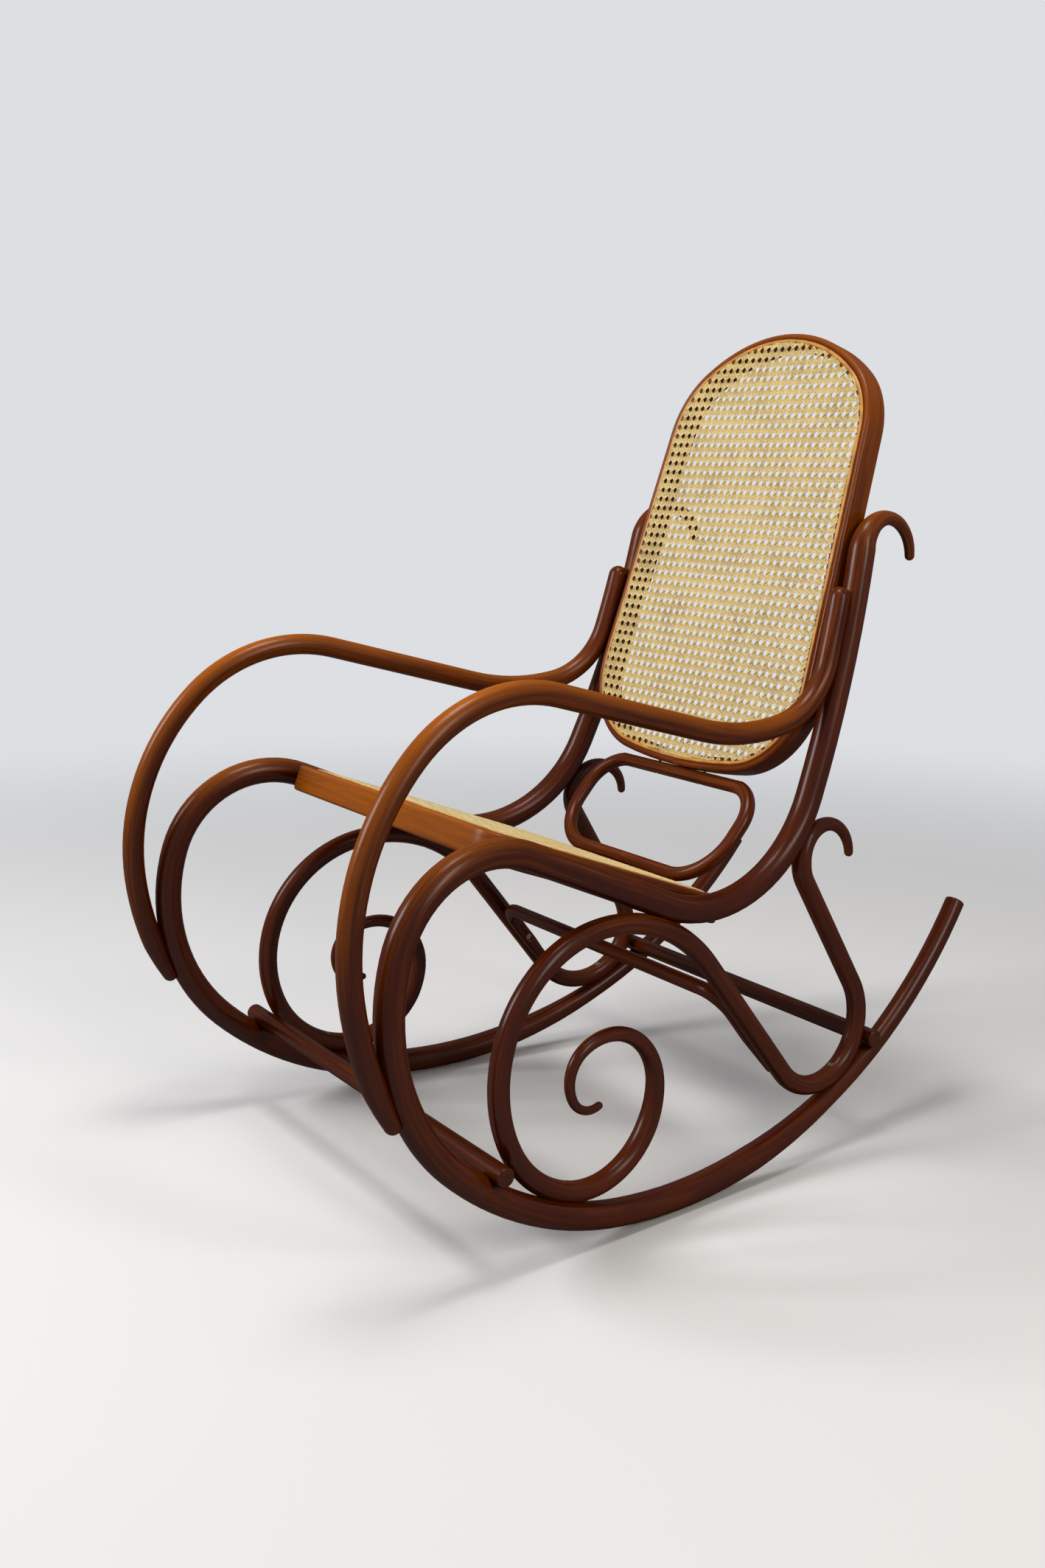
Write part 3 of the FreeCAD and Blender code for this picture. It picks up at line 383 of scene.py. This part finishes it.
def stained_beech(name, deep, dark, middle, light, worn_and_lit):
    material, tree, shader = new_finish(name)
    place = add(tree, "ShaderNodeAttribute", {"attribute_name": "before_bending"}).outputs["Vector"]
    wear_and_light = add(tree, "ShaderNodeAttribute", {"attribute_name": "wear_and_light"}).outputs["Fac"]
    patterns = []
    for across, along, detail, rough in GRAIN:
        scale = (1 / (across * MM), 1 / (across * MM), 1 / (along * MM))
        scaled = add(tree, "ShaderNodeMapping", Vector=place, Scale=scale).outputs[0]
        patterns.append(add(tree, "ShaderNodeTexNoise", Vector=scaled, Scale=1.0, Detail=detail,
                            Roughness=rough).outputs["Fac"])
    slow, streaks, fibres, flecks = patterns
    soaked = add(tree, "ShaderNodeMath", {"operation": "MULTIPLY_ADD"},
                 i0=slow, i1=0.8, i2=streaks).outputs[0]
    body = add(tree, "ShaderNodeValToRGB", Fac=soaked,
               stops=[(0.55, deep), (1.0, light), (0.8, dark), (0.92, middle)]).outputs["Color"]
    fine = add(tree, "ShaderNodeValToRGB", Fac=fibres,
               stops=[(0.3, 0.93), (0.7, 1.05)]).outputs["Color"]
    body = add(tree, "ShaderNodeMix", {"data_type": "RGBA", "blend_type": "MULTIPLY"},
               i0=1.0, i6=body, i7=fine).outputs[2]
    # Where lacquer is rubbed thin the wood shows this lighter colour, and on the upper rods the
    # same colour is painted light.
    worn_and_lit_wood = add(tree, "ShaderNodeMix", {"data_type": "RGBA", "blend_type": "MULTIPLY"},
               i0=1.0, i6=linear(worn_and_lit), i7=fine).outputs[2]
    patchy = add(tree, "ShaderNodeMath", {"operation": "MULTIPLY_ADD"},
                 i0=streaks, i1=0.35, i2=wear_and_light).outputs[0]
    wear_and_light_mask = add(tree, "ShaderNodeValToRGB", Fac=patchy,
                    stops=[(0.28, 0.0), (1.05, 1.0)]).outputs["Color"]
    body = add(tree, "ShaderNodeMix", {"data_type": "RGBA"},
               i0=wear_and_light_mask, i6=body, i7=worn_and_lit_wood).outputs[2]
    fleck_mask = add(tree, "ShaderNodeValToRGB", Fac=flecks,
                     stops=[(0.66, 0.0), (0.73, 0.35)]).outputs["Color"]
    body = add(tree, "ShaderNodeMix", {"data_type": "RGBA", "blend_type": "MULTIPLY"},
               i0=fleck_mask, i6=body, i7=linear(FLECK)).outputs[2]
    tree.links.new(body, shader.inputs["Base Color"])
    gloss = add(tree, "ShaderNodeMapRange", Value=slow, To_Min=0.2, To_Max=0.3).outputs[0]
    tree.links.new(gloss, shader.inputs["Coat Roughness"])
    shader.inputs["Roughness"].default_value = 0.6
    shader.inputs["Specular IOR Level"].default_value = 0.0
    shader.inputs["Coat Weight"].default_value = 0.085
    shader.inputs["Coat IOR"].default_value = 2.2
    bump = add(tree, "ShaderNodeBump", Height=fibres, Strength=0.03, Distance=0.2 * MM)
    tree.links.new(bump.outputs[0], shader.inputs["Normal"])
    tree.links.new(bump.outputs[0], shader.inputs["Coat Normal"])
    return material


rod_wood = stained_beech(
    "stained_beech_rods", "#3b1101", "#441501", "#4a1901", "#542001", "#b05f0e")
ring_wood = stained_beech(
    "stained_beech_rings", "#4e1c01", "#572101", "#5f2702", "#6b2f03", "#aa5d0e")
bar_wood = stained_beech(
    "stained_beech_bars", "#350f01", "#3d1401", "#441801", "#4d1e01", "#93500f")
print("wood finishes:", [m.name for m in (rod_wood, ring_wood, bar_wood)])

# %% [markdown]
# Now every CAD node that is wood gets its dressed copy. The table below names each piece's middle
# line, a number that moves it to its own place in the pattern, and its touch points: the arms'
# fronts and tops, the seat's front edge, the top of the back and the front bar, where feet rest.
# %% Dress the wood


def dress(obj, node, material):
    obj.data.materials.clear()
    obj.data.materials.append(material)
    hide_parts(node)
    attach(obj, "root")
    print(obj.name, "vertices", len(obj.data.vertices))


for side, plane, sign in (("left", left_side, 1), ("right", right_side, -1)):
    for part, line, number, touches in (
            ("side_rod", SIDE_ROD, 1 + sign, [
                ((sign * 268, -330, 440), 90, 0.35, (0, -0.5, 1)),
                ((sign * 232, 330, 770), 60, 0.3, (0, 0, 1)),
                ((sign * 260, -150, 420), 120, 0.15, (0, 0, 1))]),
            ("scroll", SCROLL, 4 + sign, [((sign * 255, -100, 350), 90, 0.2, (0, 0, 1))]),
            ("armrest", ARMREST, 7 + sign, [
                ((sign * 268, -300, 590), 140, 0.5, (0, -0.6, 1)),
                ((sign * 270, -430, 450), 120, 0.3, (0, -1, 0.2)),
                ((sign * 250, -60, 560), 150, 0.35, (0, 0, 1)),
                ((sign * 240, 130, 530), 90, 0.2, (0, 0, 1))])):
        piece = merged_copy(part + "_" + side, part + "_" + side + "_wood")
        straighten(piece, plane, line, number)
        paint_wear_and_light(piece, touches, BASE_WEAR)
        dress(piece, part + "_" + side, rod_wood)
for node, plane, line, number in (
        ("lumbar_loop", loop_plane, LOOP, 10), ("bow_brace", bow_plane, BOW, 11)):
    piece = merged_copy(node, node + "_wood")
    straighten(piece, plane, line, number, closed=node == "lumbar_loop")
    touches = [((0, 160, 440), 150, 0.2, (0, -1, 1))] if node == "lumbar_loop" else []
    paint_wear_and_light(piece, touches, BASE_WEAR)
    dress(piece, node, rod_wood)
for node, number in (("front_stretcher", 12), ("rear_stretcher", 13)):
    piece = merged_copy(node, node + "_wood")
    straight_bar(piece, number)
    touches = [((0, -300, 130), 150, 0.35, (0, 0, 1))] if node == "front_stretcher" else []
    paint_wear_and_light(piece, touches, BASE_WEAR)
    dress(piece, node, bar_wood)
for node, plane, line, number in (
        ("seat_frame", seat_plane, SEAT_RING, 14), ("back_frame", back_plane, BACK_RING, 15)):
    piece = merged_copy(node, node + "_wood")
    straighten(piece, plane, line, number, closed=True)
    touches = [((0, -270, 465), 160, 0.4, (0, -0.6, 1)),
               ((150, -270, 460), 110, 0.3, (0, -0.6, 1)),
               ((-150, -270, 460), 110, 0.3, (0, -0.6, 1))]
    if node == "back_frame":
        touches = [((0, 320, 1000), 150, 0.12, (0, -0.4, 1))]
    paint_wear_and_light(piece, touches, RING_WEAR)
    dress(piece, node, ring_wood)

# %% [markdown]
# The cane is the glossy bark of a climbing palm, split into flat strands. This weave has six
# ways: pairs of strands stand and cross at half-inch spacing, and two families slant between
# them, which leaves rows of eight-sided holes. A texture on a plate would look flat at the edge
# and from the side, so every strand is a real thin strip that goes over and under the others.
# Each strip starts as a grid, is laid along its line, and is lifted by a wave that depends on
# where it crosses its neighbours.
# %% One strand of cane
PITCH = 12.7
STRAND = 2.35
THICKNESS = 0.5
PAIR_GAP = 1.3  # from the middle of a pair to the middle of either strand
END_RUN = 7.0  # over which a strand comes down to the sheet at its end
SHORTEST = 6  # shorter strands are left out
STEP = PITCH / 4
print("pitch, mm:", PITCH, "strand, mm:", STRAND, "by", THICKNESS)


def edge_polygon(circles, inset):
    return [(x, y) for x, y, _, _ in ring_line(circles, inset)]


def chord(polygon, point, direction):
    """Distances along a line at which it enters and leaves an outline."""
    px, py = point
    dx, dy = direction
    hits = []
    for (ax, ay), (bx, by) in zip(polygon, polygon[1:]):
        first = (ax - px) * dy - (ay - py) * dx
        second = (bx - px) * dy - (by - py) * dx
        if (first > 0) != (second > 0):
            share = first / (first - second)
            hx, hy = ax + (bx - ax) * share, ay + (by - ay) * share
            hits.append((hx - px) * dx + (hy - py) * dy)
    return (min(hits), max(hits)) if len(hits) >= 2 else None


def lay_strand(bm, polygon, point, direction, lift, bed):
    """Adds one strip along a line across the outline."""
    span = chord(polygon, point, direction)
    if not span or span[1] - span[0] < SHORTEST:
        return 0
    count = max(2, round((span[1] - span[0]) / STEP))
    grid = bmesh.ops.create_grid(bm, x_segments=count, y_segments=1, size=0.5)
    dx, dy = direction
    for vertex in grid["verts"]:
        run = span[0] + (span[1] - span[0]) * (vertex.co.x + 0.5)
        side = vertex.co.y * STRAND
        x, y = point[0] + run * dx - side * dy, point[1] + run * dy + side * dx
        near_end = min(1.0, min(run - span[0], span[1] - run) / END_RUN)
        vertex.co = (x, y, bed + lift(x, y) * near_end)
    return 1

# %% [markdown]
# A sheet is made of four families: standing and crossing pairs, and two slants. Each family is
# one piece. Its strips are laid flat, given their thickness, and only then moved to the ring.
# %% A whole sheet
PAIR_LIFT = 0.3
SLANT_LIFT = 0.75
TONE_STEP = 0.618034  # the golden ratio keeps neighbouring strands unlike
TONE_SHIFT = 0.37
print("strands rise and fall by, mm:", PAIR_LIFT, "and", SLANT_LIFT)


def woven(name, plane, polygon, middle, node, material, bed):
    """The four families of strands, each one piece."""
    half = 0.5 * PITCH
    reach = max(max(abs(x), abs(y - middle)) for x, y in polygon) + 2 * PITCH
    lines = int(reach / PITCH) + 2
    wave = math.tau / PITCH
    diagonal = math.sqrt(0.5)
    pairs = [(i * PITCH + half + s * PAIR_GAP, s) for i in range(-lines, lines) for s in (-1, 1)]
    starts = [(i * PITCH + half, middle) for i in range(-2 * lines, 2 * lines)]
    families = {
        "standing": [((place, middle), (0, 1), s) for place, s in pairs],
        "crossing": [((0, middle + place), (1, 0), s) for place, s in pairs],
        "rising": [(start, (diagonal, diagonal), 0) for start in starts],
        "falling": [(start, (diagonal, -diagonal), 0) for start in starts],
    }
    lifts = {
        "standing": lambda s: lambda x, y: -PAIR_LIFT * s * math.cos(wave * (y - middle)),
        "crossing": lambda s: lambda x, y: PAIR_LIFT * s * math.cos(wave * x),
        "rising": lambda s: lambda x, y: -SLANT_LIFT * math.cos(wave * x),
        "falling": lambda s: lambda x, y: SLANT_LIFT * math.cos(wave * x),
    }
    for family, strands in families.items():
        bm = bmesh.new()
        laid = 0
        tone = bm.verts.layers.float.new("strand_tone")
        for number, (point, direction, s) in enumerate(strands):
            before = len(bm.verts)
            laid += lay_strand(bm, polygon, point, direction, lifts[family](s), bed)
            bm.verts.ensure_lookup_table()
            for vertex in bm.verts[before:]:
                vertex[tone] = (number * TONE_STEP + len(family) * TONE_SHIFT) % 1.0
        bmesh.ops.recalc_face_normals(bm, faces=bm.faces)
        for face in bm.faces:
            if face.normal.z < 0:
                face.normal_flip()
        bmesh.ops.solidify(bm, geom=bm.faces[:], thickness=THICKNESS)
        turn = Matrix((plane.across, plane.up, plane.normal)).transposed().to_4x4()
        bmesh.ops.scale(bm, vec=(MM, MM, MM), verts=bm.verts)
        bmesh.ops.transform(bm, matrix=Matrix.Translation(plane.origin) @ turn, verts=bm.verts)
        mesh = bpy.data.meshes.new(name + "_" + family)
        bm.to_mesh(mesh)
        bm.free()
        obj = bpy.data.objects.new(name + "_" + family, mesh)
        bpy.context.scene.collection.objects.link(obj)
        dress(obj, node, material)
        print(obj.name, "strands", laid, "faces", len(mesh.polygons))

# %% [markdown]
# The strands are pale straw with the plant's own hard gloss. No two have quite the same tone, so
# each carries a number that shifts its colour, over blotches 35 mm wide and a fine mottle of
# 2.5 mm. The seat's cane is made a little lighter than the back's, as it looks lighter on the
# real chair. Both sheets are then woven.
# %% The cane's finish, and both sheets


def straw(name, dark, light):
    """Cane: pale straw with a hard natural gloss, each strand a slightly different tone."""
    material, tree, shader = new_finish(name)
    tone = add(tree, "ShaderNodeAttribute", {"attribute_name": "strand_tone"}).outputs["Fac"]
    place = add(tree, "ShaderNodeTexCoord").outputs["Object"]
    blotch = add(tree, "ShaderNodeTexNoise", Vector=place,
                 Scale=1 / (35 * MM), Detail=3.0).outputs["Fac"]
    fine = add(tree, "ShaderNodeTexNoise", Vector=place,
               Scale=1 / (2.5 * MM), Detail=2.0).outputs["Fac"]
    total = blotch
    for part in (tone, fine):
        total = add(tree, "ShaderNodeMath", {"operation": "MULTIPLY_ADD"},
                    i0=part, i1=0.35, i2=total).outputs[0]
    colour = add(tree, "ShaderNodeValToRGB", Fac=total, stops=[(0.3, dark), (1.05, light)])
    tree.links.new(colour.outputs["Color"], shader.inputs["Base Color"])
    shader.inputs["Roughness"].default_value = 0.42
    shader.inputs["IOR"].default_value = 1.5
    return material


back_straw = straw("palm_cane_back", "#8b7033", "#c6ab66")
seat_straw = straw("palm_cane_seat", "#ab9050", "#dcc68a")
print("cane finishes:", back_straw.name, seat_straw.name)
BED = 0.9  # height of the strands' middle above each ring's plane
BACK_INSET, BACK_MIDDLE = 13.2, 114.75
SEAT_INSET, SEAT_MIDDLE = 26.8, 195.0
woven("back_cane", back_plane, edge_polygon(BACK_CIRCLES, BACK_INSET), BACK_MIDDLE,
      "back_cane", back_straw, BED)
woven("seat_cane", seat_plane, edge_polygon(SEAT_CIRCLES, SEAT_INSET), SEAT_MIDDLE,
      "seat_cane", seat_straw, BED)

# %% [markdown]
# The spline is a reed pressed into the groove over the cane's ends. It stays the CAD solid and
# gets a golden, half-glossy finish. The screws are old slotted ones, of dull browned steel.
# %% Spline and screws
spline_finish, tree, shader = new_finish("golden_reed")
place = add(tree, "ShaderNodeTexCoord").outputs["Object"]
mottle = add(tree, "ShaderNodeTexNoise", Vector=place,
             Scale=1 / (18 * MM), Detail=4.0).outputs["Fac"]
golden = add(tree, "ShaderNodeValToRGB", Fac=mottle,
             stops=[(0.3, "#9a6016"), (0.7, "#c98a2c")])
tree.links.new(golden.outputs["Color"], shader.inputs["Base Color"])
shader.inputs["Roughness"].default_value = 0.36
screw_finish, tree, shader = new_finish("browned_steel")
shader.inputs["Base Color"].default_value = linear("#7a6a58")
shader.inputs["Metallic"].default_value = 1.0
shader.inputs["Roughness"].default_value = 0.42
for name, node in nodes.items():
    if "spline" in name or "screw" in name:
        node.data.materials.clear()
        node.data.materials.append(spline_finish if "spline" in name else screw_finish)
print("screws:", sum("screw" in name for name in nodes))

# %% [markdown]
# The floor is a plain pale sheet that fades into an equally pale background, so no horizon line
# competes with the chair. Rays from the camera, and rays that bounce off gloss, see it pale.
# The light that it sends up on to the chair is browner, as it would be from a wooden floor.
# %% Floor
FLOOR_RADIUS = 9.0
FADE_START, FADE_END = 0.9, 3.2  # metres from the middle
PALE = "#dddfe3"
FLOOR_SEEN = "#dddbd8"
FLOOR_BOUNCE = "#75654e"


def seen_plainly(tree):
    """1 for rays from the camera and for those off gloss or through glass, otherwise 0."""
    path = add(tree, "ShaderNodeLightPath").outputs
    mirrored = add(tree, "ShaderNodeMath", {"operation": "MAXIMUM"},
                   i0=path["Is Glossy Ray"], i1=path["Is Transmission Ray"]).outputs[0]
    return add(tree, "ShaderNodeMath", {"operation": "MAXIMUM"},
               i0=path["Is Camera Ray"], i1=mirrored).outputs[0]


bm = bmesh.new()
bmesh.ops.create_circle(bm, cap_ends=True, segments=96, radius=FLOOR_RADIUS)
floor_mesh = bpy.data.meshes.new("floor")
bm.to_mesh(floor_mesh)
bm.free()
floor = bpy.data.objects.new("floor", floor_mesh)
bpy.context.scene.collection.objects.link(floor)
floor_finish, tree, shader = new_finish("pale_floor")
direct = seen_plainly(tree)
boards = add(tree, "ShaderNodeMix", {"data_type": "RGBA"},
             i0=direct, i6=linear(FLOOR_BOUNCE), i7=linear(FLOOR_SEEN))
tree.links.new(boards.outputs[2], shader.inputs["Base Color"])
shader.inputs["Roughness"].default_value = 0.7
place = add(tree, "ShaderNodeTexCoord").outputs["Object"]
far = add(tree, "ShaderNodeVectorMath", {"operation": "LENGTH"}, i0=place).outputs["Value"]
fade = add(tree, "ShaderNodeMapRange", {"interpolation_type": "SMOOTHSTEP"},
           Value=far, From_Min=FADE_START, From_Max=FADE_END)
glow = add(tree, "ShaderNodeEmission", Color=linear(PALE), Strength=1.0)
fade = add(tree, "ShaderNodeMath", {"operation": "MULTIPLY"}, i0=fade.outputs[0], i1=direct)
blend = add(tree, "ShaderNodeMixShader",
            Fac=fade.outputs[0], i1=shader.outputs[0], i2=glow.outputs[0])
output = next(n for n in tree.nodes if n.type == "OUTPUT_MATERIAL")
tree.links.new(blend.outputs[0], output.inputs["Surface"])
floor_mesh.materials.append(floor_finish)
print("floor fades out from", FADE_START, "to", FADE_END, "m")

# %% [markdown]
# The world lights the scene evenly and weakly. Three soft panels stand in for the windows that
# draw the long highlights down the rods: a large one in front, on the left, a narrower and
# warmer one on the right, and one overhead.
# %% World and panels
WORLD_LIGHT = 0.2
world = bpy.data.worlds.new("studio")
bpy.context.scene.world = world
world.use_nodes = True
tree = world.node_tree
tree.nodes.clear()
direct = seen_plainly(tree)
lit = add(tree, "ShaderNodeBackground", Color=linear("#dfe6f0"), Strength=WORLD_LIGHT)
seen = add(tree, "ShaderNodeBackground", Color=linear(PALE), Strength=1.0)
studio = add(tree, "ShaderNodeMixShader", Fac=direct, i1=lit.outputs[0], i2=seen.outputs[0])
add(tree, "ShaderNodeOutputWorld", Surface=studio.outputs[0])


def panel(name, place, aim, width, height, power, colour):
    """A soft window-like light, its sizes in metres and its power in watts."""
    light = bpy.data.lights.new(name, "AREA")
    light.shape = "RECTANGLE"
    light.size, light.size_y = width, height
    light.energy = power
    light.color = linear(colour)[:3]
    obj = bpy.data.objects.new(name, light)
    bpy.context.scene.collection.objects.link(obj)
    obj.location = place
    obj.rotation_euler = (Vector(aim) - Vector(place)).to_track_quat("-Z", "Y").to_euler()
    print(name, "watts", power)


panel("window_left", (-1.2, -2.6, 2.1), (0, 0, 0.4), 1.0, 1.2, 82, "#fbfbff")
panel("window_right", (2.8, 0.4, 1.9), (0, 0, 0.5), 0.6, 1.4, 36, "#fff6ea")
panel("overhead", (0.2, -0.2, 3.2), (0, 0, 0.3), 0.9, 0.9, 46, "#ffffff")

# %% [markdown]
# The camera stands where the photograph's camera stood. Its place, its turn and its lens were
# solved from both side frames at once. Each direction of the view is built from the turn, the
# tilt and a slight roll.
# %% Camera
SENSOR = 36.0
FOCAL_PIXELS = 2150
IMAGE_HEIGHT = 2127
EYE = (1.5581, -1.1530, 0.8459)
YAW, PITCH_DOWN, ROLL = (math.radians(v) for v in (55.377, 11.53, -0.46))
level = math.cos(PITCH_DOWN)
forward = Vector((-math.sin(YAW) * level, math.cos(YAW) * level, -math.sin(PITCH_DOWN)))
right = Vector((math.cos(YAW), math.sin(YAW), 0))
down = forward.cross(right)
view_right = right * math.cos(ROLL) + down * math.sin(ROLL)
view_down = down * math.cos(ROLL) - right * math.sin(ROLL)
camera_data = bpy.data.cameras.new("camera")
camera_data.sensor_fit = "VERTICAL"
camera_data.sensor_height = SENSOR
camera_data.lens = SENSOR * FOCAL_PIXELS / IMAGE_HEIGHT
camera = bpy.data.objects.new("camera", camera_data)
bpy.context.scene.collection.objects.link(camera)
turn = Matrix((view_right, -view_down, -forward)).transposed().to_4x4()
camera.matrix_world = Matrix.Translation(EYE) @ turn
bpy.context.scene.camera = camera
bpy.context.scene.view_settings.view_transform = "Standard"
print("lens, mm:", round(camera_data.lens, 2))
